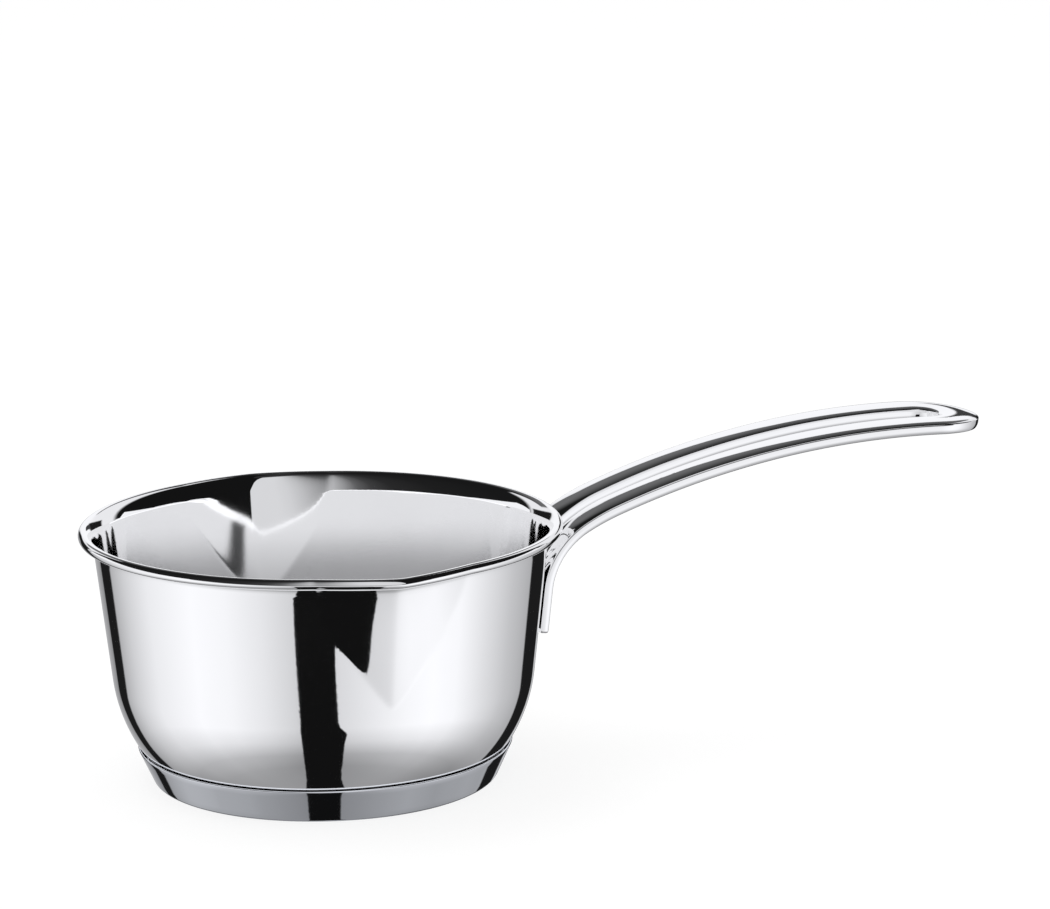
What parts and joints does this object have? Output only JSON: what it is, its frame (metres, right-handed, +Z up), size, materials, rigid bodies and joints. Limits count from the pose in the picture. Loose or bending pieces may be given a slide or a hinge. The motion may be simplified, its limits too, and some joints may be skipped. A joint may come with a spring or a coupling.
{
  "type": "butter warmer",
  "caption": "Small polished steel pan with a capsule base, a rolled lip with opposed V-shaped pouring spouts, and a slotted hairpin handle that it hangs by.",
  "frame": {"origin": "centre of the base's flat underside, on the pan's axis", "axes": "+Z up along the pan's axis, +X out along the handle, the spouts at -Y and +Y"},
  "size_m": [0.2515, 0.133, 0.0853],
  "materials": {
    "pan_steel": "polished",
    "base_steel": "polished",
    "disc_aluminium": "satin",
    "handle_steel": "polished"
  },
  "bodies": {
    "root": {"pan_body": "pan_steel", "base_cap": "base_steel", "heat_disc": "disc_aluminium", "handle_loop": "handle_steel"}
  },
  "joints": []
}
